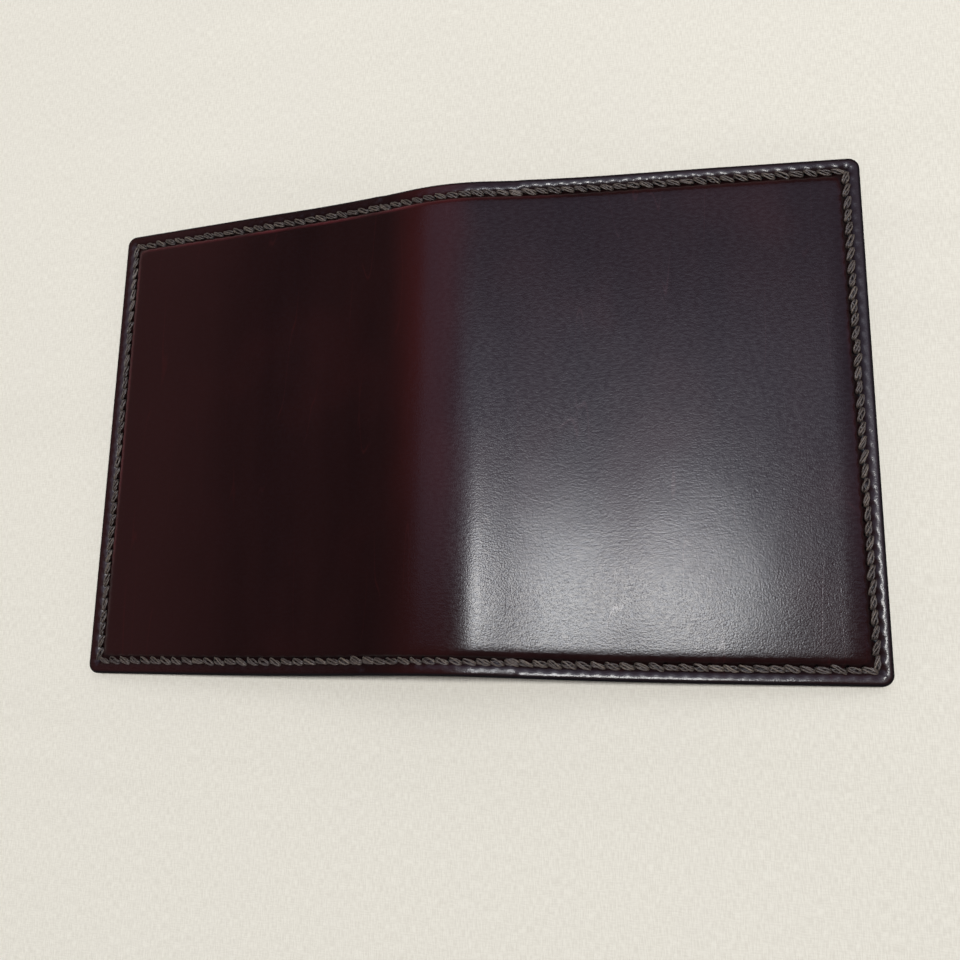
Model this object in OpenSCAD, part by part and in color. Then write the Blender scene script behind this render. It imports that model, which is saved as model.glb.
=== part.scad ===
// Travel document organizer: a leather cover that folds along its spine, with a
// passport sleeve in the left half, and a document sleeve with card pockets in the right half.
// It stands open like a low tent, outer face up, on its two outer edges.
// X runs across the open cover, Y along the spine and Z up, from the centre of the footprint.

/* [Cover] */
// Height of the cover, along the spine
cover_h = 140; // [136:1:160]
// Length of each half along the leather, from spine to outer edge
half_w = 113.4; // [108:0.1:125]
// Radius of the four outer corners
corner_r = 3; // [1:0.5:5]

/* [Fold] */
// Steepest slope of the arched spine, in degrees
arch_slope = 11.75; // [9:0.25:14]
// Slope of each flat half, in degrees
half_slope = 5.2; // [4:0.1:7]
// Gap between the two halves when the cover is closed
closed_gap = 0.7; // [0.6:0.1:2]

/* [Leather] */
// Thickness of the outer leather in the field
outer_t = 1.7; // [1.5:0.1:2]
// How far the sewn border lies below the field
border_drop = 0.5; // [0.4:0.1:0.6]
// Thickness of each stiffener board
board_t = 0.5; // [0.3:0.1:0.6]
// Thickness of the lining
lining_t = 0.7; // [0.6:0.1:0.9]
// Thickness of the sleeve leather
sleeve_t = 1.1; // [1:0.1:1.2]
// Gap that an empty sleeve keeps open
sleeve_gap = 0.4; // [0.2:0.1:0.4]
// Thickness of the card pocket leather
card_t = 0.5; // [0.4:0.05:0.5]

/* [Seams] */
// Distance from the edge to the seam
seam_inset = 3.8; // [3.5:0.1:4.2]
// Number of stitches along each half of a long edge
row_count = 30; // [28:1:32]
// Number of stitches along each outer edge
column_count = 36; // [34:1:38]
// Radius of the thread
thread_r = 0.38; // [0.25:0.01:0.38]
// Slant of each stitch, in degrees
stitch_slant = 12; // [0:1:12]

/* [Pockets] */
// Width of the card pockets, across the half
card_w = 60; // [58:1:62]
// Height of the rear card pocket
card_h = 98; // [92:1:110]
// Step from one card pocket's mouth to the next
card_step = 13; // [8:1:16]

/* [Hidden] */
$fn = 48;

// Section of the open cover, as lengths along the leather from the spine:
// an arch, a straight flank, a shallow hollow that eases it out, then the flat half.
arch_end = 12;
flank_end = 18;
hollow_end = 51;
station_step = 3;
arch_radius = arch_end / (arch_slope * PI / 180);
hollow_radius = (hollow_end - flank_end) / ((arch_slope - half_slope) * PI / 180);

// Depths of the layers below the outer face of the field
lining_top = outer_t;
sleeve_top = lining_top + lining_t;
rim_bottom = sleeve_top + sleeve_t;
sleeve_bottom = rim_bottom + sleeve_gap;

// Outline of the field, the boards and the sleeves
border_w = 5.4;
board_inner = 24;
board_margin = 1.4;
rim_w = 5.6;
rim_overlap = 1.1;
field_w = half_w - border_w;
field_y = cover_h / 2 - border_w;
sleeve_w = half_w - rim_w;
sleeve_y = cover_h / 2 - rim_w;

// Seams: the row runs along each long edge and the column along each outer edge
seam_s = half_w - seam_inset;
seam_y = cover_h / 2 - seam_inset;
row_pitch = seam_s / row_count;
column_pitch = 2 * seam_y / column_count;
stitch_gap = 1;
groove_w = 1.9;
groove_depth = 0.5;
thread_sink = groove_depth - thread_r;
spine_stitches = 3;
sleeve_stitches = 6;
spine_half = spine_stitches * row_pitch;
sleeve_mouth = sleeve_stitches * row_pitch;

// Card pockets
card_s0 = 27;
card_y0 = -60;
card_seam_inset = 2;
card_stitch = 3;
card_groove_w = 0.9;
card_groove_depth = 0.25;
card_thread_r = 0.2;
card_thread_depth = card_groove_depth - card_thread_r;

// Angle at which a rounded corner meets the straight edges, and the height of its cutter
corner_break = 12;
cutter_h = 20;

// Clearance that lets a cutting body run past the face it cuts
past = 0.2;

// Slope of the leather, in degrees, at length s from the spine
function slope(s) =
    s < 0 ? -slope(-s) :
    s < arch_end ? arch_slope * s / arch_end :
    s < flank_end ? arch_slope :
    s < hollow_end ? arch_slope - (arch_slope - half_slope) * (s - flank_end) / (hollow_end - flank_end) :
    half_slope;

// Place of the outer face, as [x, z] from the top of the spine, at length s
function face(s) =
    s < 0 ? [-face(-s)[0], face(-s)[1]] :
    s <= arch_end ? arch_radius * [sin(slope(s)), cos(slope(s)) - 1] :
    s <= flank_end ? face(arch_end) + (s - arch_end) * [cos(arch_slope), -sin(arch_slope)] :
    s <= hollow_end ? face(flank_end)
        + hollow_radius * [sin(arch_slope) - sin(slope(s)), cos(arch_slope) - cos(slope(s))] :
    face(hollow_end) + (s - hollow_end) * [cos(half_slope), -sin(half_slope)];

// Place of a point that lies at a depth below the outer face
function below(s, depth) = face(s) - depth * [sin(slope(s)), cos(slope(s))];

// Lengths at which a layer from s0 to s1 takes a corner of its section. They are the same for
// every layer, so that layers meet face to face.
function stations(s0, s1) = concat(
    [s0],
    [for (s = [-hollow_end : station_step : hollow_end]) if (s > s0 + past && s < s1 - past) s],
    [s1]
);

// Height of the spine's top above the surface that the outer edges stand on
ridge_z = -below(half_w, rim_bottom)[1];

// Fold axis: it runs along Y at x = 0, midway between the outer faces of the closed halves
last_card = 2;
fold_d = (sleeve_bottom + card_bottom(last_card) + closed_gap) / 2;
fold_z = ridge_z + face(hollow_end)[1] + face(hollow_end)[0] * tan(half_slope) - fold_d / cos(half_slope);
echo(fold_axis_z = fold_z, opens_flat_at = -2 * half_slope, closes_at = 180 - 2 * half_slope);

// One layer of the section, from s0 to s1, y0 to y1 and depth top to bottom
module layer(s0, s1, y0, y1, top, bottom) {
    at = stations(s0, s1);
    back = [for (i = [len(at) - 1 : -1 : 0]) below(at[i], bottom)];
    translate([0, y1, ridge_z])
        rotate([90, 0, 0])
            linear_extrude(y1 - y0)
                polygon(concat([for (s = at) below(s, top)], back));
}

// Puts its children on the section at length s, across at y, with Z along the face's normal
module on_section(s, y, depth) {
    p = below(s, depth);
    translate([p[0], y, ridge_z + p[1]]) rotate([0, slope(s), 0]) children();
}

// What rounds the two outer corners of the right half. The rounding meets the straight
// edges at a slight angle, which keeps its surface clear of running along theirs.
module corner_cutters() {
    reach = corner_r + 1;
    inset = corner_r * cos(corner_break);
    for (side = [-1, 1])
        on_section(half_w - inset, side * (cover_h / 2 - inset), 0)
            linear_extrude(cutter_h, center = true)
                difference() {
                    translate([0, side > 0 ? 0 : -reach]) square(reach);
                    circle(r = corner_r);
                }
}

// Groove for the rows of the seam, from s0 to s1
module row_grooves(s0, s1, top, bottom) {
    for (side = [-1, 1])
        layer(s0, s1, side * seam_y - groove_w / 2, side * seam_y + groove_w / 2, top, bottom);
}

// Groove for the column of the seam, in the right half
module column_groove(top, bottom) {
    layer(seam_s - groove_w / 2, seam_s + groove_w / 2, -seam_y, seam_y, top, bottom);
}

// One stitch of length l, lying along X and turned about the face's normal
module stitch(l, r, turn) {
    rotate([0, 0, turn]) rotate([0, 90, 0]) cylinder(h = l, r = r, center = true, $fn = 16);
}

// Stitches first to last of both rows, counted from the spine
module stitch_rows(first, last, depth) {
    for (k = [first : last], side = [-1, 1])
        on_section((k + 0.5) * row_pitch, side * seam_y, depth)
            stitch(row_pitch - stitch_gap, thread_r, stitch_slant);
}

// All the stitches of the column
module stitch_column(depth) {
    for (k = [0 : column_count - 1])
        on_section(seam_s, (k + 0.5) * column_pitch - seam_y, depth)
            stitch(column_pitch - stitch_gap, thread_r, 90 + stitch_slant);
}

// Outer leather of the right half, with its sewn border, raised field and board recess
module cover_half() {
    board_y = field_y - board_margin;
    difference() {
        union() {
            layer(spine_half, half_w, -cover_h / 2, cover_h / 2, border_drop, outer_t);
            layer(spine_half, field_w, -field_y, field_y, 0, outer_t);
        }
        layer(board_inner, field_w - board_margin, -board_y, board_y, outer_t - board_t, outer_t + past);
        row_grooves(spine_half - 1, seam_s + groove_w / 2, -past, border_drop + groove_depth);
        column_groove(-past, border_drop + groove_depth);
        corner_cutters();
    }
}

// Stiffener board of the right half
module board_half() {
    board_y = field_y - board_margin;
    layer(board_inner, field_w - board_margin, -board_y, board_y, outer_t - board_t, outer_t);
}

// Lining of the right half
module lining_half() {
    difference() {
        layer(spine_half, half_w, -cover_h / 2, cover_h / 2, lining_top, sleeve_top);
        row_grooves(spine_half - 1, sleeve_mouth, sleeve_top - groove_depth, sleeve_top + past);
        corner_cutters();
    }
}

// Sleeve of the right half: a sewn rim on three sides, and a face that stands off the lining
module sleeve_half() {
    hollow_w = sleeve_w - rim_overlap;
    hollow_y = sleeve_y - rim_overlap;
    difference() {
        union() {
            layer(sleeve_mouth, half_w, -cover_h / 2, cover_h / 2, sleeve_top, rim_bottom);
            layer(sleeve_mouth, sleeve_w, -sleeve_y, sleeve_y, sleeve_top + sleeve_gap, sleeve_bottom);
        }
        layer(sleeve_mouth - 1, hollow_w, -hollow_y, hollow_y, sleeve_top - past, sleeve_top + sleeve_gap);
        row_grooves(sleeve_mouth - 1, seam_s + groove_w / 2, rim_bottom - groove_depth, rim_bottom + past);
        column_groove(rim_bottom - groove_depth, rim_bottom + past);
        corner_cutters();
    }
}

// Threads on the outer face of the right half
module outer_threads_half() {
    depth = border_drop + thread_sink;
    stitch_rows(spine_stitches, row_count - 1, depth);
    stitch_column(depth);
}

// Threads on the inner face of the right half: on the lining first, then on the sleeve's rim
module inner_threads_half() {
    stitch_rows(spine_stitches, sleeve_stitches - 1, sleeve_top - thread_sink);
    stitch_rows(sleeve_stitches, row_count - 1, rim_bottom - thread_sink);
    stitch_column(rim_bottom - thread_sink);
}

// Depth of the outer side of card pocket n, counted from the sleeve, and the height of its mouth
function card_bottom(n) = sleeve_bottom + (n + 1) * card_t;
function card_mouth(n) = card_y0 + card_h - n * card_step;

// Card pocket n, with the grooves of the seam where the next pocket doesn't cover it
module card_pocket(n) {
    far = card_s0 + card_w;
    difference() {
        layer(card_s0, far, card_y0, card_mouth(n), card_bottom(n) - card_t, card_bottom(n));
        for (s = [card_s0 + card_seam_inset, far - card_seam_inset])
            layer(s - card_groove_w / 2, s + card_groove_w / 2, card_y0 + card_seam_inset, card_mouth(n) - 1,
                card_bottom(n) - card_groove_depth, card_bottom(n) + past);
        layer(card_s0 + card_seam_inset, far - card_seam_inset,
            card_y0 + card_seam_inset - card_groove_w / 2, card_y0 + card_seam_inset + card_groove_w / 2,
            card_bottom(n) - card_groove_depth, card_bottom(n) + past);
    }
}

// Threads of the card pockets: two sides, each on the pocket that shows there, and the foot
module card_threads() {
    foot_y = card_y0 + card_seam_inset;
    far = card_s0 + card_w;
    for (n = [0 : last_card], s = [card_s0 + card_seam_inset, far - card_seam_inset]) {
        from = n == last_card ? foot_y + 1 : card_mouth(n + 1) + 0.5;
        for (y = [from + card_stitch / 2 : card_stitch : card_mouth(n) - card_stitch])
            on_section(s, y, card_bottom(n) - card_thread_depth)
                stitch(card_stitch - stitch_gap, card_thread_r, 90);
    }
    for (s = [card_s0 + card_seam_inset + card_stitch : card_stitch : far - card_seam_inset - card_stitch])
        on_section(s, foot_y, card_bottom(last_card) - card_thread_depth)
            stitch(card_stitch - stitch_gap, card_thread_r, 0);
}

module outer_cover_right() {
    color([0.2, 0.07, 0.08]) cover_half();
}
module outer_cover_left() {
    color([0.2, 0.07, 0.08]) mirror([1, 0, 0]) cover_half();
}
module outer_cover_spine() {
    color([0.26, 0.08, 0.08])
        difference() {
            union() {
                layer(-spine_half, spine_half, -cover_h / 2, cover_h / 2, border_drop, outer_t);
                layer(-spine_half, spine_half, -field_y, field_y, 0, outer_t);
            }
            row_grooves(-spine_half - 1, spine_half + 1, -past, border_drop + groove_depth);
        }
}
module stiffener_right() {
    color([0.55, 0.47, 0.36]) board_half();
}
module stiffener_left() {
    color([0.55, 0.47, 0.36]) mirror([1, 0, 0]) board_half();
}
module lining_right() {
    color([0.3, 0.15, 0.11]) lining_half();
}
module lining_left() {
    color([0.3, 0.15, 0.11]) mirror([1, 0, 0]) lining_half();
}
module lining_spine() {
    color([0.3, 0.15, 0.11])
        difference() {
            layer(-spine_half, spine_half, -cover_h / 2, cover_h / 2, lining_top, sleeve_top);
            row_grooves(-spine_half - 1, spine_half + 1, sleeve_top - groove_depth, sleeve_top + past);
        }
}
module passport_sleeve() {
    color([0.24, 0.1, 0.09]) mirror([1, 0, 0]) sleeve_half();
}
module document_sleeve() {
    color([0.24, 0.1, 0.09]) sleeve_half();
}
module card_pocket_rear() {
    color([0.27, 0.11, 0.1]) card_pocket(0);
}
module card_pocket_middle() {
    color([0.27, 0.11, 0.1]) card_pocket(1);
}
module card_pocket_front() {
    color([0.27, 0.11, 0.1]) card_pocket(2);
}
module perimeter_stitching_right() {
    color([0.42, 0.37, 0.35]) outer_threads_half();
}
module perimeter_stitching_left() {
    color([0.42, 0.37, 0.35]) mirror([1, 0, 0]) outer_threads_half();
}
module sleeve_stitching_right() {
    color([0.42, 0.37, 0.35]) inner_threads_half();
}
module sleeve_stitching_left() {
    color([0.42, 0.37, 0.35]) mirror([1, 0, 0]) inner_threads_half();
}
module spine_stitching() {
    color([0.42, 0.37, 0.35])
        for (depth = [border_drop + thread_sink, sleeve_top - thread_sink])
            stitch_rows(-spine_stitches, spine_stitches - 1, depth);
}
module card_pocket_stitching() {
    color([0.42, 0.37, 0.35]) card_threads();
}

outer_cover_left();
outer_cover_spine();
outer_cover_right();
stiffener_left();
stiffener_right();
lining_left();
lining_spine();
lining_right();
passport_sleeve();
document_sleeve();
card_pocket_rear();
card_pocket_middle();
card_pocket_front();
perimeter_stitching_left();
perimeter_stitching_right();
sleeve_stitching_left();
sleeve_stitching_right();
spine_stitching();
card_pocket_stitching();
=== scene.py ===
import math

import bmesh
import bpy
import numpy as np
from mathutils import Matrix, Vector


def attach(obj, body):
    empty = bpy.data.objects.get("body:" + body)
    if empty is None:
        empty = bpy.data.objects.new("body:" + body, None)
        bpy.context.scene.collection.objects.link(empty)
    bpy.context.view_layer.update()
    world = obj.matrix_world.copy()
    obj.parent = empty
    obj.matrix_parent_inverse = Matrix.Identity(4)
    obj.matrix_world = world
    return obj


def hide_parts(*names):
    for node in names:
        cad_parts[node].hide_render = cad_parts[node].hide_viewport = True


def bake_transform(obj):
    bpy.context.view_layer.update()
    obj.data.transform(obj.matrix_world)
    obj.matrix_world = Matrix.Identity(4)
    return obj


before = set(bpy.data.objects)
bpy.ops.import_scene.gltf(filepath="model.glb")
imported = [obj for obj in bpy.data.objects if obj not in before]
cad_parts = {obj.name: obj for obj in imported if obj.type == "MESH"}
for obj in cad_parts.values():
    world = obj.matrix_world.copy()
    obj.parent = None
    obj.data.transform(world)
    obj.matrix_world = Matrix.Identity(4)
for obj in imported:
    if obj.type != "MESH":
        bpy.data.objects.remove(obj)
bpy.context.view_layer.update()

MM = 0.001

# ---------------------------------------------------------------- sizes, in mm, as in the CAD
# s is the length along the leather from the spine, y runs along the spine, and depth is
# measured inwards from the raised outer face
HALF_W, HALF_H, CORNER_R = 113.4, 70.0, 3.0
ARCH_END, FLANK_END, HOLLOW_END = 12.0, 18.0, 51.0
ARCH_SLOPE, HALF_SLOPE = 11.75, 5.2
LINING_TOP, SLEEVE_TOP, RIM_BOTTOM, FACE_BOTTOM = 1.7, 2.4, 3.5, 3.9
WAIST, WAIST_SPREAD = 0.0121, 36.3

SEAM_INSET = 3.8
SEAM_S, SEAM_Y = HALF_W - SEAM_INSET, HALF_H - SEAM_INSET
ROW_COUNT, COLUMN_COUNT = 30, 36
ROW_PITCH, COLUMN_PITCH = SEAM_S / ROW_COUNT, 2 * SEAM_Y / COLUMN_COUNT
SPINE_S, MOUTH_S = 3 * ROW_PITCH, 6 * ROW_PITCH

BOARD_S0, BOARD_S1, BOARD_Y, BOARD_T = 24.0, 106.6, 63.2, 0.5
CARD_S0, CARD_S1, CARD_Y0, CARD_T = 27.0, 87.0, -60.0, 0.5
CARD_MOUTHS = {"card_pocket_rear": 38.0, "card_pocket_middle": 25.0, "card_pocket_front": 12.0}
CARD_SEAM, CARD_STITCH = 2.0, 3.0

# ---------------------------------------------------------------- the section of the open cover
S_TABLE = np.linspace(0, HALF_W, 22681)
TILT = np.radians(np.interp(S_TABLE, (0, ARCH_END, FLANK_END, HOLLOW_END),
                            (0, ARCH_SLOPE, ARCH_SLOPE, HALF_SLOPE)))


def running_sum(values):
    return np.concatenate([[0], np.cumsum((values[1:] + values[:-1]) / 2) * S_TABLE[1]])


X_TABLE, Z_TABLE = running_sum(np.cos(TILT)), -running_sum(np.sin(TILT))
RIDGE_Z = RIM_BOTTOM * math.cos(TILT[-1]) - Z_TABLE[-1]


def place(s, y, depth):
    """Points in metres. The spine is a little shorter along y than the outer edges are."""
    a = np.abs(s)
    t = np.interp(a, S_TABLE, TILT)
    x = np.sign(s) * (np.interp(a, S_TABLE, X_TABLE) - depth * np.sin(t))
    z = RIDGE_Z + np.interp(a, S_TABLE, Z_TABLE) - depth * np.cos(t)
    drawn_in = 1 - WAIST * np.exp(-(s / WAIST_SPREAD) ** 2)
    return np.stack([x, y * drawn_in, z], -1) * MM


# ---------------------------------------------------------------- smooth functions
def ease(x, a, b):
    """From 0 at a to 1 at b."""
    t = np.clip((x - a) / (b - a), 0, 1)
    return t * t * (3 - 2 * t)


def hump(x, centre, width):
    """1 at the centre, fading away on both sides."""
    return np.exp(-(((x - centre) / width) ** 2))


def curve(x, points):
    """A smooth curve through about these (x, value) points."""
    xs, ys = zip(*points)
    fine = np.linspace(xs[0] - 1, xs[-1] + 1, 1200)
    v = np.interp(fine, xs, ys)
    width = max(3, int(0.18 / (fine[1] - fine[0])))
    for _ in range(3):
        v = np.convolve(np.pad(v, width, mode="edge"), np.ones(2 * width + 1) / (2 * width + 1), "valid")
    return np.interp(x, fine, v)


def waves(s, y, scale, seed, count=7):
    """Gentle undulation between about -1 and 1, with features of about that scale."""
    r = np.random.default_rng(seed)
    total = np.zeros(np.broadcast(s, y).shape)
    for _ in range(count):
        a, p = r.uniform(0, 2 * np.pi, 2)
        k = 2 * np.pi / scale * r.uniform(0.6, 1.5)
        total += np.sin(k * (s * math.cos(a) + y * math.sin(a)) + p)
    return total / math.sqrt(count)


def rounded_edge(distance, r):
    """How far a rounded edge of radius r lies back, at a distance from the side."""
    d = np.clip(distance, 0, r)
    return np.where(distance < r, r - np.sqrt(np.maximum(r * r - (r - d) ** 2, 0)), 0)


# ---------------------------------------------------------------- mesh helpers
FAR_FROM_SEAM = 9.0


def new_object(name, verts, faces, attributes=()):
    """A smooth-shaded mesh object. attributes are (name, values for each vertex)."""
    mesh = bpy.data.meshes.new(name)
    mesh.from_pydata([tuple(v) for v in np.asarray(verts, float)], [], [tuple(map(int, f)) for f in faces])
    for label, values in attributes:
        values = np.asarray(values, np.float32)
        vector = values.ndim == 2
        layer = mesh.attributes.new(label, "FLOAT_VECTOR" if vector else "FLOAT", "POINT")
        layer.data.foreach_set("vector" if vector else "value", values.ravel())
    mesh.polygons.foreach_set("use_smooth", [True] * len(mesh.polygons))
    bm = bmesh.new()
    bm.from_mesh(mesh)
    bmesh.ops.recalc_face_normals(bm, faces=bm.faces)
    bm.to_mesh(mesh)
    bm.free()
    obj = bpy.data.objects.new(name, mesh)
    bpy.context.scene.collection.objects.link(obj)
    return obj


def lines(half, inner_steps, edge_steps):
    """Grid lines from -half to half: the inner ones, and finer ones close to both edges."""
    zone = edge_steps[-1]
    inner = [v for v in inner_steps if abs(v) < half - zone - 0.12]
    return np.array([-half + e for e in edge_steps] + sorted(inner) + [half - e for e in edge_steps[::-1]])


def round_corner(u, v, hw, hh, r_low, r_high):
    """Moves grid points near the corners of a rectangle on to arcs. r_low rounds the -u corners."""
    r = np.where(u < 0, r_low, r_high)
    p = np.clip((np.abs(u) - hw + r) / r, 0, 1)
    q = np.clip((np.abs(v) - hh + r) / r, 0, 1)
    both = (p > 0) & (q > 0)
    pu = np.where(both, p * np.sqrt(1 - q * q / 2), p)
    qv = np.where(both, q * np.sqrt(1 - p * p / 2), q)
    u2 = np.where(p > 0, np.sign(u) * (hw - r + r * pu), u)
    v2 = np.where(q > 0, np.sign(v) * (hh - r + r * qv), v)
    return u2, v2


def ring(nu, nv):
    """Indices of the border of an nu by nv grid, in order."""
    idx = np.arange(nu * nv).reshape(nu, nv)
    return np.concatenate([idx[:-1, 0], idx[-1, :-1], idx[:0:-1, -1], idx[0, :0:-1]])


def quads(grid, turned=False):
    """The faces between the points of a grid of indices, turned over for the back of a sheet."""
    corners = [grid[:-1, :-1], grid[1:, :-1], grid[1:, 1:], grid[:-1, 1:]]
    if turned:
        corners = [corners[i] for i in (0, 3, 2, 1)]
    return list(np.stack(corners, -1).reshape(-1, 4))


def shell(name, centre, us, vs, front, back, radii, walls, coarse_vs=None):
    """A closed sheet of leather. us and vs are grid lines about the centre. front and back give a
    depth at (s, y, u, v), and front also gives the layers that the material reads. walls are
    (share of the way from front to back, inset) of the rings between them. Where coarse_vs is
    given, the back has only those lines inside its border."""
    hw, hh = us[-1], vs[-1]
    u, v = round_corner(*np.meshgrid(us, vs, indexing="ij"), hw, hh, *radii)
    s, y = centre[0] + u, centre[1] + v
    nu, nv = u.shape
    border = ring(nu, nv)
    front_depth, front_layers = front(s, y, u, v)
    back_depth = back(s, y, u, v)
    layers = {key: [values.reshape(nu * nv, -1).squeeze()] for key, values in front_layers.items()}
    pts, lay = [], []

    def add_points(s, y, depth):
        pts.append(place(s, y, depth).reshape(-1, 3))
        lay.append(np.stack([s, y, depth], -1).reshape(-1, 3) * MM)

    def extend_layers(count, rim):
        for key, parts in layers.items():
            value = {"rim": rim, "seam": FAR_FROM_SEAM}.get(key, 0.0)
            parts.append(np.full((count,) + parts[0].shape[1:], value))

    add_points(s, y, front_depth)
    faces = quads(np.arange(nu * nv).reshape(nu, nv))

    last, total, n = border, nu * nv, len(border)
    from_front, to_back = front_depth.ravel()[border], back_depth.ravel()[border]
    for share, inset in walls:
        add_points(centre[0] + u.ravel()[border] * (1 - inset / hw),
                   centre[1] + v.ravel()[border] * (1 - inset / hh),
                   from_front + (to_back - from_front) * share)
        extend_layers(n, 1.0)
        here = total + np.arange(n)
        faces += list(np.stack([last, np.roll(last, -1), np.roll(here, -1), here], -1))
        last, total = here, total + n

    # the back shares the last ring as its border
    columns = np.arange(nv)
    if coarse_vs is not None:
        columns = np.array([0] + [int(np.argmin(abs(vs - c))) for c in coarse_vs] + [nv - 1])
    idx = np.full((nu, nv), -1)
    idx.ravel()[border] = last
    ii, jj = np.array([(i, j) for i in range(1, nu - 1) for j in columns[1:-1]]).T
    idx[ii, jj] = total + np.arange(len(ii))
    add_points(s[ii, jj], y[ii, jj], back_depth[ii, jj])
    extend_layers(len(ii), 0.0)
    flat_from = len(faces)
    back_grid = idx if coarse_vs is None else idx[1:-1][:, columns]
    faces += quads(back_grid, turned=True)
    if coarse_vs is not None:
        for end, near in ((0, 1), (nu - 1, nu - 2)):
            faces.append([idx[end, j] for j in range(nv)] + [idx[near, j] for j in columns[::-1]])

    attributes = [("lay", np.concatenate(lay))]
    attributes += [(key, np.concatenate(parts)) for key, parts in layers.items()]
    obj = new_object(name, np.concatenate(pts), faces, attributes)
    if coarse_vs is not None:
        smooth = np.arange(len(obj.data.polygons)) < flat_from
        obj.data.polygons.foreach_set("use_smooth", smooth)
    return obj


# ---------------------------------------------------------------- distances on the cover
def edge_distance(s, y, soften=2.4):
    """Distance from the cover's outline, with softened inner corners."""
    a, b = HALF_W - np.abs(s), HALF_H - np.abs(y)
    h = np.maximum(soften - np.abs(a - b), 0) / soften
    inner = np.minimum(a, b) - h * h * soften / 4
    ra, rb = CORNER_R - a, CORNER_R - b
    outer = CORNER_R - np.hypot(np.maximum(ra, 0), np.maximum(rb, 0))
    return np.where((ra > 0) & (rb > 0), np.minimum(inner, outer), inner)


def nearer_column(s, y):
    """Whether an outer edge is nearer than a long edge."""
    return HALF_W - np.abs(s) < HALF_H - np.abs(y)


def seam_beat(s, y):
    """1 at the holes of the nearest seam and -1 halfway between, and the distance from the seam."""
    on_column = nearer_column(s, y)
    phase = np.where(on_column, (y + SEAM_Y) / COLUMN_PITCH, s / ROW_PITCH)
    off = np.where(on_column, np.abs(np.abs(s) - SEAM_S), np.abs(np.abs(y) - SEAM_Y))
    return np.cos(2 * np.pi * phase), off


def seam_place(s, y):
    """Stitches along the seam, travelling anticlockwise, and mm inwards from it, for the shader."""
    on_column = nearer_column(s, y)
    along = np.where(on_column, y * np.sign(s) / COLUMN_PITCH, -s * np.sign(y) / ROW_PITCH)
    inwards = np.where(on_column, SEAM_S - np.abs(s), SEAM_Y - np.abs(y))
    return np.stack([along, inwards, 0 * s], -1)


def plain_layers(rim):
    """The layers of leather with no dirt, no painted shade and no painted highlight on the step."""
    return {"rim": rim, "dirt_and_painted_shade": np.zeros(rim.shape), "painted_step_highlight": np.zeros(rim.shape)}


# ---------------------------------------------------------------- outer leather
# depth below the raised field, by distance from the edge: a border, the sewn channel, and the
# step up to the field. Over the spine, where no sleeve backs it, the border is shallower.
RAISED_FIELD = ((5.9, 0.12), (6.8, 0.03), (8.0, 0.0))
SLEEVED_BORDER = ((0, 0.50), (0.9, 0.42), (1.6, 0.455), (2.2, 0.55), (2.8, 0.71), (3.3, 0.90), (3.9, 0.98),
                  (4.5, 0.90), (4.9, 0.72), (5.35, 0.34)) + RAISED_FIELD
SPINE_BORDER = ((0, 0.58), (0.9, 0.50), (1.8, 0.50), (2.7, 0.56), (3.3, 0.72), (3.9, 0.82),
                (4.5, 0.74), (4.9, 0.58), (5.35, 0.32)) + RAISED_FIELD
EDGE_ROUNDING, EDGE_SHARE = 0.75, 0.9
HOLE_DEPTH, HOLE_REACH = 0.34, 0.9
LIFT, LIFT_OFF, LIFT_REACH = 0.075, 1.4, 0.55
OUTER_EDGE_DROP, SPINE_THINNING = 0.16, 0.20
EDGE = (0, 0.1, 0.25, 0.45, 0.7, 1.0, 1.35, 1.75, 2.15, 2.5, 2.8, 3.1, 3.45, 3.8, 4.15, 4.5,
        4.8, 5.05, 5.3, 5.6, 6.0, 6.6)


def outer_front(s, y, u, v):
    d = edge_distance(s, y)
    beat, off = seam_beat(s, y)
    over_spine = 1 - ease(np.abs(s), MOUTH_S - 1.6, MOUTH_S + 0.5)
    rounding = rounded_edge(d, EDGE_ROUNDING) * EDGE_SHARE
    near_outer_edge = (1 - ease(HALF_W - np.abs(s), 5.0, 10.5)) * ease(d, 4.9, 5.6)
    sleeved = curve(d, SLEEVED_BORDER) + rounding + OUTER_EDGE_DROP * near_outer_edge
    depth = sleeved + (curve(d, SPINE_BORDER) + rounding - sleeved) * over_spine

    # leather is pulled down at each hole, and drawn up beside the middle of each stitch
    pull = hump(off, 0, HOLE_REACH) * (0.5 + 0.5 * beat) * HOLE_DEPTH
    beside = hump(off, LIFT_OFF, LIFT_REACH) * beat * LIFT * (1 - 0.75 * over_spine)
    depth = depth + (pull + beside) * (d > 0.8)

    # the spine's edge is thinner, and nothing in leather is quite flat
    thinner = SPINE_THINNING * over_spine * (1 - ease(d, 4.9, 5.5))
    field_swell = ease(d, 5.6, 14) * (0.018 * waves(s, y, 46, 3) + 0.005 * waves(s, y, 17, 4))
    border_swell = 0.05 * waves(s, y, 26, 5) * (1 - ease(d, 4, 6)) * ease(d, 0, 1)

    # a reddish line painted on the step's lit face, a painted highlight, and partly dirt, partly painted
    # shade in the channel and against the step
    painted_step_highlight = hump(d, 5.75, 0.35) * (0.7 + 0.3 * waves(s, y, 20, 6))
    # the painted highlight is kept to the left and upper side, and fades towards the right and bottom,
    # where the step lies in shade
    painted_step_highlight = painted_step_highlight * (1 - 0.9 * ease(s, -20, 50)) * ease(y, -62, -10)
    dirt_and_painted_shade = hump(off, 0, 1.15) * (d < 7) + 0.7 * hump(d, 4.95, 0.32)
    return depth + thinner + field_swell + border_swell, {
        "rim": 1 - ease(d, 0.40, 0.90), "painted_step_highlight": np.clip(painted_step_highlight, 0, 1), "dirt_and_painted_shade": np.clip(dirt_and_painted_shade, 0, 1),
        "seam": seam_place(s, y)}


def outer_back(s, y, u, v):
    a = np.abs(s)
    over_board = (a > BOARD_S0 - 0.8) & (a < BOARD_S1 + 0.8) & (np.abs(y) < BOARD_Y + 0.4)
    return np.where(over_board, LINING_TOP - BOARD_T, LINING_TOP)


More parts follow.
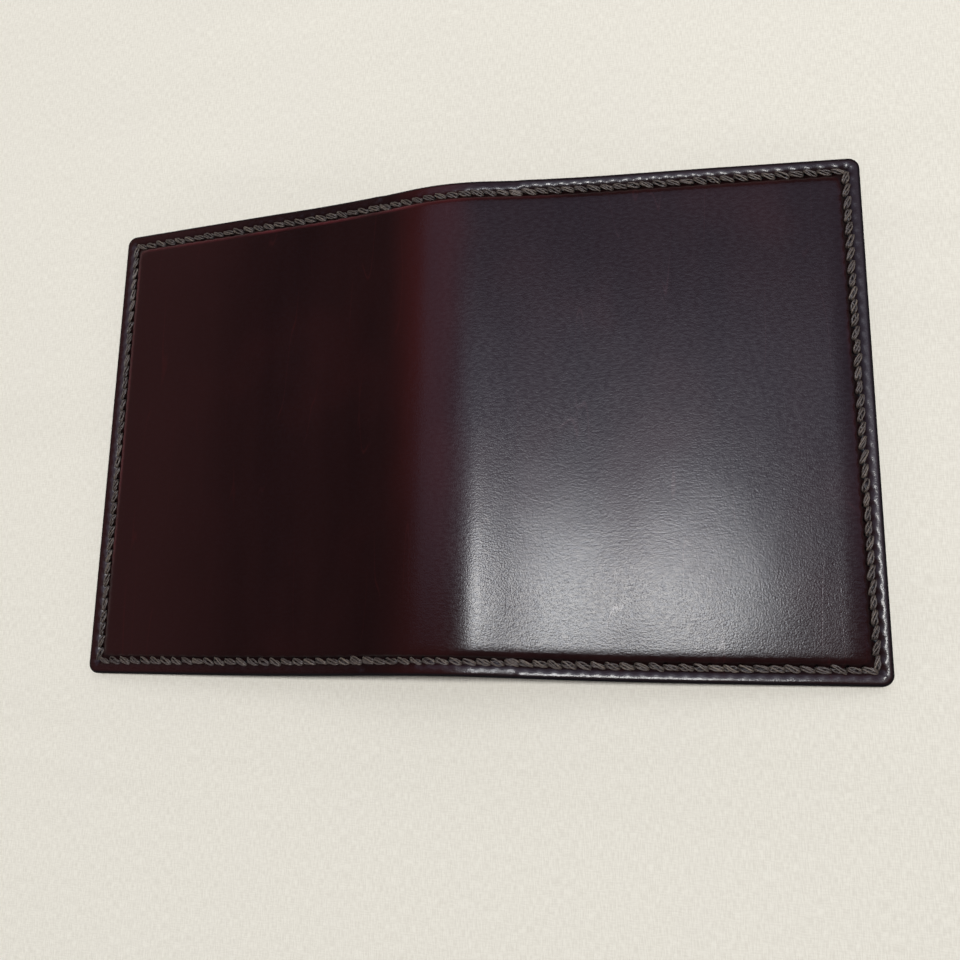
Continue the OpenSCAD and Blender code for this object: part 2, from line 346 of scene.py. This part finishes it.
row_steps = np.arange(-150, 151) * ROW_PITCH / 5
column_steps = np.arange(-90, 91) * COLUMN_PITCH / 5
outer = shell("outer_leather", (0, 0), lines(HALF_W, row_steps, EDGE), lines(HALF_H, column_steps, EDGE),
              outer_front, outer_back, (CORNER_R, CORNER_R), ((0.55, -0.02), (0.86, 0.02), (1.0, 0.14)),
              coarse_vs=(-63.9, -63.2, 63.2, 63.9))


# ---------------------------------------------------------------- lining
def lining_front(s, y, u, v):
    return np.full(s.shape, LINING_TOP), plain_layers(1 - ease(edge_distance(s, y), 0.2, 0.6))


def lining_back(s, y, u, v):
    """The bare stretch across the spine has creases and pulled stitches. The rest is covered."""
    beat, off = seam_beat(s, y)
    pull = hump(off, 0, 0.9) * (0.16 + 0.16 * beat)
    bare = 1 - ease(np.abs(s), MOUTH_S - 0.9, MOUTH_S + 0.5)
    crease = 0.05 * np.sin(s / 1.1 + 0.5 * waves(s, y, 30, 8)) * hump(s, 0, 8.0)
    hollow = pull + crease + 0.03 * waves(s, y, 24, 9) + 0.04
    return SLEEVE_TOP - bare * hollow * ease(edge_distance(s, y), 0, 0.8)


lining = shell("lining", (0, 0),
               lines(HALF_W - 0.05, np.arange(-150, 151) * ROW_PITCH / 4, (0, 0.4, 1.2, 2.4, 3.8, 5.2)),
               lines(HALF_H - 0.05, column_steps[::2], (0, 0.12, 0.4, 1.2, 2.2, 3.1, 3.8, 4.5, 5.4)),
               lining_front, lining_back, (CORNER_R, CORNER_R), ((0.18, -0.06), (0.8, -0.06)))

# ---------------------------------------------------------------- sleeves
SLEEVE_GAP = 0.4
SLEEVE_BORDER = ((0, RIM_BOTTOM - 0.02), (1.5, RIM_BOTTOM), (2.9, RIM_BOTTOM - 0.22),
                 (3.8, RIM_BOTTOM - 0.38), (4.7, RIM_BOTTOM - 0.2), (5.3, RIM_BOTTOM),
                 (6.0, FACE_BOTTOM - 0.04), (6.8, FACE_BOTTOM - 0.01))
SLEEVE_ROUNDING = 0.42
MOUTH_CREASE, MOUTH_CREASE_AT = 0.13, 2.3
MOUTH_CORNER_R = 0.35


def sleeve(name, side):
    """side is 1 for the right half and -1 for the left."""
    centre = side * (MOUTH_S + HALF_W) / 2
    half = (HALF_W - MOUTH_S) / 2 - 0.02

    def from_edge(s, y):
        return np.minimum(edge_distance(s, y), HALF_H - np.abs(y))

    def from_mouth(s):
        return np.abs(s) - MOUTH_S

    def inner_side(s, y, u, v):
        d, m = from_edge(s, y), from_mouth(s)
        bevel = 0.16 * (1 - ease(m, 0, 0.3))
        depth = SLEEVE_TOP + SLEEVE_GAP * ease(d, 6.2, 7.4) + bevel
        return depth, plain_layers(1 - ease(np.minimum(d, m), 0.15, 0.45))

    def outer_side(s, y, u, v):
        d, m = from_edge(s, y), from_mouth(s)
        beat, off = seam_beat(s, y)
        pull = hump(off, 0, 0.95) * (0.5 + 0.5 * beat) * 0.24
        crease = MOUTH_CREASE * hump(m, MOUTH_CREASE_AT, 0.28) * ease(d, 5.0, 6.5)
        sag = 0.03 * (1 + waves(s, y, 40, 21 + side)) * ease(d, 6.5, 16)
        rounding = rounded_edge(d, SLEEVE_ROUNDING) + rounded_edge(m, SLEEVE_ROUNDING)
        return curve(d, SLEEVE_BORDER) - pull - crease - sag - rounding

    us = lines(half, np.arange(-200, 201) * ROW_PITCH / 4,
               (0, 0.12, 0.25, 0.42, 0.9, 1.6, 2.0, 2.3, 2.6, 3.1, 3.8, 4.5, 5.1, 5.6, 6.1, 6.8, 7.6))
    vs = lines(HALF_H - 0.03, np.arange(-90, 91) * COLUMN_PITCH / 4,
               (0, 0.12, 0.25, 0.42, 1.0, 1.7, 2.4, 2.9, 3.3, 3.8, 4.3, 4.8, 5.3, 5.8, 6.3, 7.0, 7.6))
    radii = (MOUTH_CORNER_R, CORNER_R)[::side]
    return shell(name, (centre, 0), us, vs, inner_side, outer_side, radii, ((0.25, -0.02), (0.75, -0.02)))


passport = sleeve("passport_sleeve_leather", -1)
document = sleeve("document_sleeve_leather", 1)

# ---------------------------------------------------------------- card pockets
CARD_EDGE = (0, 0.1, 0.25, 0.4, 1.0, 1.5, 1.75, 2.0, 2.25, 2.5, 3.0, 3.8)


def card_pocket(name, level):
    """level 0 lies on the sleeve, and each next pocket lies on the one before."""
    top = FACE_BOTTOM + level * CARD_T
    mouth = CARD_MOUTHS[name]
    hw, hh = (CARD_S1 - CARD_S0) / 2 - 0.02, (mouth - CARD_Y0) / 2
    centre = ((CARD_S0 + CARD_S1) / 2, (mouth + CARD_Y0) / 2)

    def from_edge(u, v):
        return np.minimum(hw - np.abs(u), hh - np.abs(v))

    def inner_side(s, y, u, v):
        e = from_edge(u, v)
        return top + 0.08 * (1 - ease(e, 0, 0.25)) + 0.01, plain_layers(1 - ease(e, 0.1, 0.35))

    def outer_side(s, y, u, v):
        from_side, from_top = hw - np.abs(u), hh - v
        side_off = np.abs(from_side - CARD_SEAM)
        foot_off = np.abs(hh + v - CARD_SEAM)
        along = np.where(side_off < foot_off, y, s)
        beat = 0.6 + 0.4 * np.cos(2 * np.pi * along / CARD_STITCH)
        bevel = 0.2 * (1 - ease(from_edge(u, v), 0, 0.3))
        crease = 0.09 * hump(from_top, 2.0, 0.24) * ease(from_side, 0.6, 1.4)
        groove = 0.2 * hump(np.minimum(side_off, foot_off), 0, 0.5) * beat * ease(from_top, 0.8, 2.2)
        return top + CARD_T - bevel - crease - groove - 0.008

    return shell(name + "_leather", centre, lines(hw, np.arange(-60, 61), CARD_EDGE),
                 lines(hh, np.arange(-120, 121) * 0.75, CARD_EDGE), inner_side, outer_side, (1.0, 1.0),
                 ((0.3, -0.02), (0.7, -0.02)))


pockets = [card_pocket(name, level) for level, name in enumerate(CARD_MOUTHS)]

# ---------------------------------------------------------------- stitches
STRANDS = 4
TWIST = 1.25


def stitches(name, seats, length, half_w, half_h, slant, dive, strand, around, along, seed):
    """Stitches of four loose strands that spread in the middle and meet at the holes. seats are
    (s, y, direction along, depth, outward sign) rows, and strand is a strand's share of half_h."""
    r = np.random.default_rng(seed)
    seats = np.asarray(seats, float)
    n = len(seats)

    def jitter(spread, strands=1):
        return 1 + spread * r.uniform(-1, 1, (n, strands, 1, 1))

    # arrays run over the stitches, the strands, the length of a strand and the way round it
    even = np.linspace(-1, 1, along)
    t = (np.sign(even) * np.abs(even) ** 0.85)[None, None, :, None]
    round_strand = (np.arange(around) * 2 * np.pi / around)[None, None, None, :]
    order = (np.arange(STRANDS) * 2 * np.pi / STRANDS)[None, :, None, None]

    turn = order + TWIST * jitter(0.35) * t
    turn = turn + r.uniform(0, 2 * np.pi, (n, 1, 1, 1)) + 0.45 * r.uniform(-1, 1, (n, STRANDS, 1, 1))
    lean = t + 0.22 * (1 - t * t)
    spread = np.sqrt(np.maximum(1 - np.abs(lean) ** 2.4, 0)) * jitter(0.18)
    radius = strand * half_h * (1 - 0.35 * np.abs(t) ** 4) * jitter(0.14, STRANDS)
    radius = radius * (1 + 0.05 * np.sin(t * 11 + order * 5))
    across = (half_w - strand * half_h) * spread * np.cos(turn) + radius * np.cos(round_strand) * 1.1
    up = (half_h - strand * half_h) * spread * np.sin(turn) + radius * np.sin(round_strand)
    up = up - dive * np.clip((np.abs(t) - 0.66) / 0.34, 0, 1) ** 2
    flow = length / 2 * t * jitter(0.05) + np.zeros(up.shape)
    across = across + slant * flow * jitter(0.55) + 0.08 * r.uniform(-1, 1, (n, 1, 1, 1))

    s0, y0, direction, depth, sign = (seats[:, i][:, None, None, None] for i in range(5))
    s = s0 + flow * np.cos(direction) - across * np.sin(direction)
    y = y0 + flow * np.sin(direction) + across * np.cos(direction)
    pts = place(s, y, depth - sign * up).reshape(-1, 3)

    # each strand has its own stretch of the fibre pattern
    own = 7.3 * np.arange(n)[:, None, None, None]
    lay = np.stack([flow + own, across + 2.9 * order, up], -1).reshape(-1, 3) * MM
    # 1 on the side of a strand that faces out of the thread, 0 on the side in the crevices
    crest = np.clip(0.5 + 0.5 * np.cos(round_strand - turn), 0, 1)
    count = STRANDS * n
    shade = np.repeat(r.uniform(0, 1, count) ** 0.55, along * around)

    base = np.arange(count * along * around).reshape(count, along, around)
    following = np.roll(base, -1, 2)
    sides = [base[:, :-1], following[:, :-1], following[:, 1:], base[:, 1:]]
    faces = list(np.stack(sides, -1).reshape(-1, 4))
    for k in range(count):
        faces += [base[k, 0, ::-1], base[k, -1]]
    return new_object(name, pts, faces, [("lay", lay), ("shade", shade), ("crest", crest.ravel())])


def perimeter(depth_at, sign):
    """Seats of the stitches all round, travelling anticlockwise as seen from outside."""
    seats = []
    for k in range(-ROW_COUNT, ROW_COUNT):
        mid = (k + 0.5) * ROW_PITCH
        seats.append((mid, -SEAM_Y, 0.0, depth_at(mid), sign))
        seats.append((mid, SEAM_Y, math.pi, depth_at(mid), sign))
    for k in range(COLUMN_COUNT):
        mid = (k + 0.5) * COLUMN_PITCH - SEAM_Y
        seats.append((SEAM_S, mid, math.pi / 2, depth_at(SEAM_S), sign))
        seats.append((-SEAM_S, mid, -math.pi / 2, depth_at(SEAM_S), sign))
    return seats


def outer_thread_depth(s):
    return 0.66 + 0.30 * (1 - ease(abs(s), MOUTH_S - 1.6, MOUTH_S + 0.5))


def inner_thread_depth(s):
    return (SLEEVE_TOP if abs(s) < MOUTH_S else RIM_BOTTOM) - 0.12


def doubled_seats():
    """The seam is sewn twice where it starts and ends, beside each sleeve's mouth."""
    seats = []
    for k, side in ((5, 1), (-6, 1), (5, -1), (-6, -1), (6, 1), (-7, -1)):
        mid = (k + 0.5) * ROW_PITCH
        direction = 0.0 if side < 0 else math.pi
        seats.append((mid + 0.25, side * (SEAM_Y - 0.35), direction, outer_thread_depth(mid) - 0.16, 1))
    return seats


def card_seats():
    """Both sides of each pocket, as far as the next one covers it, and one row along the foot."""
    seats = []
    names = list(CARD_MOUTHS)
    for level, name in enumerate(names):
        depth = FACE_BOTTOM + (level + 1) * CARD_T - 0.06
        start = CARD_Y0 + 3 if level == len(names) - 1 else CARD_MOUTHS[names[level + 1]] + 0.5
        first, last = start + CARD_STITCH / 2, CARD_MOUTHS[name] - CARD_STITCH
        for s_side in (CARD_S0 + CARD_SEAM, CARD_S1 - CARD_SEAM):
            for y_mid in np.arange(first, last + 1e-6, CARD_STITCH):
                seats.append((s_side, y_mid, math.pi / 2, depth, -1))
    for s_mid in np.arange(CARD_S0 + 5, CARD_S1 - 5 + 1e-6, CARD_STITCH):
        seats.append((s_mid, CARD_Y0 + CARD_SEAM, 0.0, FACE_BOTTOM + 3 * CARD_T - 0.06, -1))
    return seats


outer_thread = stitches("outer_stitching", perimeter(outer_thread_depth, 1) + doubled_seats(),
                        length=ROW_PITCH + 0.55, half_w=0.90, half_h=0.44, slant=-0.26, dive=0.8,
                        strand=0.56, around=9, along=12, seed=5)
inner_thread = stitches("inner_stitching", perimeter(inner_thread_depth, -1),
                        length=ROW_PITCH + 0.2, half_w=0.80, half_h=0.38, slant=0.2, dive=0.7,
                        strand=0.58, around=8, along=10, seed=6)
card_thread = stitches("card_stitching", card_seats(),
                       length=CARD_STITCH - 0.35, half_w=0.27, half_h=0.17, slant=0.08, dive=0.3,
                       strand=0.6, around=8, along=9, seed=8)


# ---------------------------------------------------------------- node trees
class Nodes:
    """A short way to write a node tree. Every value may be a number or another node's output."""

    def __init__(self, tree):
        self.tree = tree

    def feed(self, socket, value):
        if isinstance(value, bpy.types.NodeSocket):
            self.tree.links.new(value, socket)
        else:
            socket.default_value = value

    def node(self, kind, inputs, **settings):
        n = self.tree.nodes.new("ShaderNode" + kind)
        for key, value in settings.items():
            setattr(n, key, value)
        for key, value in inputs.items():
            self.feed(n.inputs[key], value)
        return n

    def attribute(self, name, out="Fac"):
        return self.node("Attribute", {}, attribute_name=name).outputs[out]

    def coordinates(self, kind):
        return self.node("TexCoord", {}).outputs[kind]

    def parts(self, vector):
        return self.node("SeparateXYZ", {0: vector}).outputs

    def noise(self, vector, scale, detail=2.0, rough=0.5, distortion=0.0):
        return self.node("TexNoise", {"Vector": vector, "Scale": scale, "Detail": detail,
                                      "Roughness": rough, "Distortion": distortion}).outputs["Fac"]

    def stretch(self, vector, by, turn=0.0):
        return self.node("Mapping", {"Vector": vector, "Scale": by, "Rotation": (0, 0, turn)}).outputs[0]

    def shift(self, vector, by):
        return self.node("Mapping", {"Vector": vector, "Location": by}).outputs[0]

    def ramp(self, value, low, high, to_low=0.0, to_high=1.0):
        return self.node("MapRange", {"Value": value, "From Min": low, "From Max": high, "To Min": to_low,
                                      "To Max": to_high}, interpolation_type="SMOOTHSTEP").outputs[0]

    def math(self, operation, a, b=0.0):
        return self.node("Math", {0: a, 1: b}, operation=operation).outputs[0]

    def add(self, a, b):
        return self.math("ADD", a, b)

    def minus(self, a, b):
        return self.math("SUBTRACT", a, b)

    def times(self, a, b):
        return self.math("MULTIPLY", a, b)

    def larger(self, a, b):
        return self.math("MAXIMUM", a, b)

    def size(self, a):
        return self.math("ABSOLUTE", a)

    def mix(self, factor, a, b):
        """From colour a to colour b."""
        n = self.node("Mix", {0: factor}, data_type="RGBA")
        for socket, color in zip([x for x in n.inputs if x.type == "RGBA"], (a, b)):
            self.feed(socket, color if isinstance(color, bpy.types.NodeSocket) else (*color, 1.0))
        return next(x for x in n.outputs if x.type == "RGBA")

    def bump(self, height, strength, distance, normal=None):
        inputs = {"Height": height, "Strength": strength, "Distance": distance}
        if normal is not None:
            inputs["Normal"] = normal
        return self.node("Bump", inputs).outputs[0]


class Surface(Nodes):
    """The node tree of a new material."""

    def __init__(self, name):
        self.material = bpy.data.materials.new(name)
        self.material.use_nodes = True
        super().__init__(self.material.node_tree)

    def finish(self, **values):
        shader = self.tree.nodes["Principled BSDF"]
        for key, value in values.items():
            self.feed(shader.inputs[key.replace("_", " ")], value)
        return self.material


# ---------------------------------------------------------------- leather
# distances in the shader are in metres, apart from the seam's, and noise scales are per metre
# HOLE_SHADE is painted shade for the needle holes
EDGE_BLACK, HOLE_SHADE = (0.004, 0.003, 0.004), (0.0008, 0.0005, 0.0005)
# the reddish colour painted on the step's lit face: a painted highlight
STEP_HIGHLIGHT_RED = (0.105, 0.016, 0.022)
WHITE = (1.0, 1.0, 1.0, 1.0)
GRAIN_DEPTH = 0.2 * MM
SCRATCH_WIDTH = 0.004
# painted shade in the slits that the needle leaves, in mm: where the painted shade is solid and where it
# has faded away
STITCH_LENGTH, SLIT_INSET, SLIT_SLANT = 3.66, 0.45, (0.75, 0.62)
SLIT_HALF_WIDTH, SLIT_HALF_LENGTH = (0.22, 0.55), (0.75, 1.15)


def hairlines(m, lay, scale, shift):
    """Thin, scattered scratch lines: the level lines of a stretched noise, kept in patches."""
    shifted = m.shift(lay, shift)
    level = m.size(m.minus(m.noise(shifted, scale, 2.0, 0.45), 0.5))
    patch = m.ramp(m.noise(shifted, scale * 2.3, 1.0), 0.52, 0.66)
    return m.times(m.minus(1.0, m.ramp(level, 0.0, SCRATCH_WIDTH)), patch)


def painted_hole_shade(m, seam):
    """Painted shade: the dark, slanted slit at each end of a stitch, where the hole lies in shade."""
    phase = m.minus(m.math("FRACT", m.add(seam[0], 0.5)), 0.5)
    along, inwards = m.times(phase, STITCH_LENGTH), m.minus(seam[1], SLIT_INSET)
    cos, sin = SLIT_SLANT
    from_line = m.size(m.minus(m.times(along, cos), m.times(inwards, sin)))
    from_middle = m.size(m.add(m.times(along, sin), m.times(inwards, cos)))
    return m.times(m.ramp(from_line, *SLIT_HALF_WIDTH, 1.0, 0.0),
                   m.ramp(from_middle, *SLIT_HALF_LENGTH, 1.0, 0.0))


def spine_wear_and_painted_shade(m, color, lay, streak, mid, warm):
    """The left end is a little lighter, and a reddish tone of wear shows along the spine's ridge, painted
    weaker towards the bottom as shade.
    """
    s, y, _ = m.parts(lay)
    color = m.mix(m.ramp(s, -0.100, -0.055, 0.85, 0.0), color, [c * 1.5 for c in mid])
    ridge = m.minus(1.0, m.ramp(m.size(m.add(s, 0.004)), 0.002, 0.015))
    # weaker towards the bottom: painted shade
    ridge = m.times(ridge, m.ramp(y, -0.055, 0.030, 0.35, 1.0))
    return m.mix(m.times(ridge, m.ramp(streak, 0.2, 0.8, 0.3, 0.5)), color, warm)


def leather(name, dark, mid, warm, rough, coat, coat_rough, grain, edge=EDGE_BLACK, specular=0.22,
            tint=WHITE, polished_border=0.0):
    """Dyed leather. polished_border is for the outer leather alone: the coat on the border
    outside its seam, with painted shade in the needle holes and the spine's wear, painted weaker towards
    the bottom as shade."""
    m = Surface(name)
    lay = m.attribute("lay", "Vector")
    rim, dirt_and_painted_shade = m.attribute("rim"), m.attribute("dirt_and_painted_shade")

    streak = m.noise(m.stretch(lay, (1.0, 0.16, 1.0)), 60)
    cloud = m.noise(lay, 26, 3.0)
    color = m.mix(m.ramp(streak, 0.15, 0.85), dark, mid)
    color = m.mix(m.times(m.ramp(cloud, 0.45, 0.75), 0.10), color, warm)
    pores = m.noise(lay, 2600, 2.0, 0.6)
    color = m.mix(m.ramp(pores, 0.55, 0.75, 0.0, 0.35), color, dark)
    if polished_border:
        color = spine_wear_and_painted_shade(m, color, lay, streak, mid, warm)
    # partly dirt and partly painted shade, in the channel and against the step
    color = m.mix(m.times(dirt_and_painted_shade, 0.7), color, [c * 0.35 for c in dark])
    # a painted highlight: the step's lit face, reddish
    color = m.mix(m.times(m.attribute("painted_step_highlight"), 0.8), color, STEP_HIGHLIGHT_RED)
    scratch = m.larger(hairlines(m, m.stretch(lay, (1.0, 0.12, 1.0), 1.1), 60, (3.1, 0.7, 0.0)),
                       hairlines(m, m.stretch(lay, (1.0, 0.10, 1.0), -0.5), 75, (0.4, 5.2, 0.0)))
    color = m.mix(m.times(scratch, 0.18), color, warm)

    # the polish misses the rim, most of the dirt and painted shade, and the holes' painted shade
    unpolished = m.larger(rim, m.times(dirt_and_painted_shade, 0.6))
    if polished_border:
        seam = m.parts(m.attribute("seam", "Vector"))
        # painted shade in the needle holes
        hole_shade = painted_hole_shade(m, seam)
        color = m.mix(hole_shade, color, HOLE_SHADE)
        unpolished = m.larger(unpolished, hole_shade)
    color = m.mix(rim, color, edge)

    fine = m.noise(lay, 2600, 1.0)
    soft = m.noise(m.stretch(lay, (1.0, 0.6, 1.0)), 1800, 0.0, 0.4)
    brushed = m.noise(m.stretch(lay, (0.42, 1.0, 1.0), -0.12), 1500, 1.5, 0.6)
    height = m.add(m.add(m.times(fine, 0.7), m.times(brushed, 0.5)), m.times(soft, 0.2))
    height = m.minus(height, m.times(scratch, 0.10))

    roughness = m.ramp(cloud, 0.3, 0.7, rough - 0.03, rough)
    roughness = m.add(roughness, m.times(m.ramp(brushed, 0.34, 0.66), 0.075))
    roughness = m.larger(m.add(roughness, m.times(dirt_and_painted_shade, 0.12)), m.times(rim, 0.8))
    polish = m.add(m.times(m.ramp(brushed, 0.32, 0.68, 0.25, 1.75), coat), m.times(scratch, 0.05))
    polish = m.times(m.ramp(unpolished, 0.0, 1.0, 1.0, 0.0), polish)
    if polished_border:
        # between the rim and the seam, and fainter where no sleeve backs the border
        band = m.times(m.ramp(seam[1], -1.3, -0.7, 1.0, 0.0), m.ramp(rim, 0.0, 0.5, 1.0, 0.0))
        band = m.times(band, m.ramp(m.size(m.parts(lay)[0]), 20.2 * MM, 22.2 * MM, 0.2, 1.0))
        polish = m.larger(polish, m.times(band, polished_border))
        roughness = m.add(roughness, m.times(band, 0.07))
    return m.finish(Base_Color=color, Roughness=roughness, Normal=m.bump(height, grain, GRAIN_DEPTH),
                    Specular_IOR_Level=specular, Specular_Tint=tint, Coat_Weight=polish, Coat_IOR=1.5,
                    Coat_Roughness=coat_rough, Coat_Normal=m.bump(height, grain * 0.7, GRAIN_DEPTH))


# ---------------------------------------------------------------- thread, board and floor
def thread_material():
    m = Surface("waxed_thread")
    lay = m.attribute("lay", "Vector")
    fibre = m.noise(m.stretch(lay, (0.35, 1.0, 1.0), 0.3), 3600, 3.0, 0.6)
    ply = m.noise(m.stretch(lay, (0.3, 1.0, 1.0)), 900)
    color = m.mix(m.ramp(fibre, 0.3, 0.7), (0.040, 0.028, 0.022), (0.200, 0.156, 0.126))
    # painted shade on the sides of the strands that face into the crevices
    color = m.mix(m.ramp(m.attribute("crest"), 0.15, 0.85, 0.92, 0.0), color, (0.010, 0.0055, 0.0048))
    color = m.mix(m.times(m.attribute("shade"), 0.85), color, (0.034, 0.022, 0.020))
    # painted shade where it goes down into a hole
    color = m.mix(m.ramp(m.parts(lay)[2], -0.4 * MM, 0.2 * MM, 0.85, 0.0), color, (0.008, 0.005, 0.005))
    return m.finish(Base_Color=color, Roughness=m.ramp(fibre, 0.3, 0.7, 0.34, 0.55), Sheen_Weight=0.12,
                    Normal=m.bump(m.add(fibre, ply), 0.6, 0.15 * MM), Sheen_Roughness=0.4,
                    Specular_IOR_Level=0.45)


def board_material():
    m = Surface("stiffener_board")
    at = m.coordinates("Object")
    pulp = m.noise(m.stretch(at, (1.0, 3.0, 1.0)), 900, 4.0, 0.6)
    fleck = m.noise(at, 2400)
    color = m.mix(m.ramp(pulp, 0.35, 0.65), (0.25, 0.18, 0.11), (0.38, 0.29, 0.19))
    color = m.mix(m.ramp(fleck, 0.62, 0.72, 0.0, 0.6), color, (0.12, 0.08, 0.05))
    return m.finish(Base_Color=color, Roughness=m.ramp(pulp, 0.3, 0.7, 0.75, 0.9),
                    Normal=m.bump(pulp, 0.4, 0.1 * MM))


def floor_material():
    m = Surface("pale_cotton")
    at = m.coordinates("Object")
    warp = m.noise(m.stretch(at, (3400.0, 420.0, 1.0)), 1.0, 1.0)
    weft = m.noise(m.stretch(at, (520.0, 3000.0, 1.0)), 1.0, 1.0)
    slub = m.noise(m.stretch(at, (14.0, 5.0, 1.0)), 3.0)
    fold = m.noise(m.stretch(at, (3.0, 9.0, 1.0), 0.25), 1.6, 2.0, 0.4, distortion=0.6)
    cloth = m.add(m.times(warp, 0.6), m.times(weft, 0.4))
    color = m.mix(m.ramp(cloth, 0.30, 0.70), (0.745, 0.722, 0.662), (0.862, 0.845, 0.785))
    color = m.mix(m.times(m.ramp(slub, 0.45, 0.7), 0.10), color, (0.79, 0.765, 0.735))
    return m.finish(Base_Color=color, Roughness=0.9, Specular_IOR_Level=0.15,
                    Normal=m.bump(cloth, 0.3, 0.2 * MM, m.bump(fold, 0.5, 12 * MM)))


shell_leather = leather("cordovan_leather", (0.0104, 0.0038, 0.0040), (0.0163, 0.0058, 0.0061),
                        (0.060, 0.0105, 0.0110), rough=0.195, coat=0.048, coat_rough=0.14, grain=0.175,
                        specular=0.082, tint=(0.85, 0.90, 1.0, 1.0), polished_border=0.12)
sleeve_leather = leather("sleeve_leather", (0.020, 0.0065, 0.0055), (0.034, 0.011, 0.009),
                         (0.055, 0.018, 0.014), rough=0.42, coat=0.25, coat_rough=0.25, grain=0.5)
card_leather = leather("card_leather", (0.024, 0.0075, 0.0062), (0.038, 0.012, 0.010),
                       (0.060, 0.020, 0.015), rough=0.44, coat=0.2, coat_rough=0.28, grain=0.5)
lining_leather = leather("lining_leather", (0.050, 0.021, 0.013), (0.075, 0.033, 0.021),
                         (0.10, 0.046, 0.03), rough=0.55, coat=0.08, coat_rough=0.35, grain=0.6,
                         edge=(0.006, 0.004, 0.004))
thread = thread_material()
board = board_material()

# ---------------------------------------------------------------- materials, slots and bodies
for material, slot, pieces in ((shell_leather, "outer_leather", [outer]),
                               (lining_leather, "lining_leather", [lining]),
                               (sleeve_leather, "sleeve_leather", [passport, document]),
                               (card_leather, "card_leather", pockets),
                               (thread, "thread", [outer_thread, inner_thread, card_thread])):
    for piece in pieces:
        piece.data.materials.append(material)
# the boards are the CAD's own pieces
for name in ("stiffener_left", "stiffener_right"):
    for material_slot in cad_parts[name].material_slots:
        material_slot.material = board

# the leather and the thread round its edge run across the spine's arch and are attached to neither of the
# CAD's halves
LEFT, RIGHT = "left_cover", "right_cover"
for piece in (outer, lining, outer_thread, inner_thread):
    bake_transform(piece)
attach(passport, LEFT)
for piece in [document, card_thread] + pockets:
    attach(piece, RIGHT)

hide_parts("outer_cover_left", "outer_cover_spine", "outer_cover_right")
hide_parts("lining_left", "lining_spine", "lining_right")
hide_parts("passport_sleeve")
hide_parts("document_sleeve")
for piece, name in zip(pockets, CARD_MOUTHS):
    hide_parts(name)
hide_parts("perimeter_stitching_left", "perimeter_stitching_right", "spine_stitching")
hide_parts("sleeve_stitching_left", "sleeve_stitching_right")
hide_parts("card_pocket_stitching")


# ---------------------------------------------------------------- floor, light and camera, in metres
def disc(name, radius, rings=6, spokes=48):
    """A flat round floor, with its rings closer together near the middle."""
    turns = np.arange(spokes) * 2 * math.pi / spokes
    verts = [(0, 0, 0)]
    for k in range(1, rings + 1):
        r = radius * (k / rings) ** 2
        verts += [(r * math.cos(a), r * math.sin(a), 0) for a in turns]
    faces = [(0, 1 + i, 1 + (i + 1) % spokes) for i in range(spokes)]
    for k in range(rings - 1):
        a, b = 1 + k * spokes, 1 + (k + 1) * spokes
        faces += [(a + i, b + i, b + (i + 1) % spokes, a + (i + 1) % spokes) for i in range(spokes)]
    obj = new_object(name, verts, faces)
    if obj.data.polygons[0].normal.z < 0:
        obj.data.flip_normals()
    return obj


def surroundings(horizon, zenith):
    """A plain room: pale at the height of the floor's far side, dark overhead."""
    world = bpy.data.worlds.new("studio")
    world.use_nodes = True
    bpy.context.scene.world = world
    sky = Nodes(world.node_tree)
    up = sky.parts(sky.coordinates("Generated"))[2]
    sky.feed(world.node_tree.nodes["Background"].inputs["Color"],
             sky.mix(sky.ramp(up, 0.08, 0.60), horizon, zenith))


def add_object(name, data, location=(0, 0, 0)):
    obj = bpy.data.objects.new(name, data)
    obj.location = location
    bpy.context.scene.collection.objects.link(obj)
    return obj


def point_along(obj, direction):
    obj.rotation_mode = "QUATERNION"
    obj.rotation_quaternion = Vector(direction).to_track_quat("-Z", "Y")


def soft_box(name, location, size, radiance, color):
    """A rectangular light that faces down."""
    light = bpy.data.lights.new(name, "AREA")
    light.shape = "RECTANGLE"
    light.size, light.size_y = size
    light.energy = radiance * size[0] * size[1] * math.pi
    light.color = color
    return add_object(name, light, location)


floor = disc("floor", 5.0)
floor.data.materials.append(floor_material())
surroundings(horizon=(0.73, 0.71, 0.635), zenith=(0.075, 0.07, 0.08))

# a broad lamp almost overhead, which the right half mirrors as its highlight
LAMP_TILT_X, LAMP_TILT_Y = math.radians(7.0), math.radians(4.1)
lamp = add_object("lamp", bpy.data.lights.new("lamp", "SUN"))
lamp.data.energy = 2.2
lamp.data.color = (1.0, 0.985, 0.945)
lamp.data.angle = math.radians(8.0)
point_along(lamp, (-math.tan(LAMP_TILT_X), -math.tan(LAMP_TILT_Y), -1))

# two cool panels that only the gloss shows, and a fill that it doesn't
glow = soft_box("glow", (0.675, 0.65, 1.5), (3.05, 1.2), 2.1, (0.64, 0.73, 1.0))
near_glow = soft_box("near_glow", (0.25, 0.42, 1.45), (0.75, 0.34), 3.4, (0.86, 0.88, 1.0))
glow.visible_diffuse = near_glow.visible_diffuse = False
fill = soft_box("fill", (0.22, 0.42, 0.66), (0.6, 0.5), 1.3, (1.0, 0.995, 0.97))
fill.visible_glossy = False
FILL_TARGET = Vector((0.03, 0.07, 0))
point_along(fill, FILL_TARGET - fill.location)

camera = add_object("camera", bpy.data.cameras.new("camera"), (0.073417, -0.067310, 0.254858))
camera.data.lens = 35.584
camera.data.sensor_width = 36.0
camera.data.clip_start = 0.01
camera.rotation_euler = [math.radians(a) for a in (11.5151, 14.3813, 0.8753)]
bpy.context.scene.camera = camera
bpy.context.scene.view_settings.view_transform = "Standard"
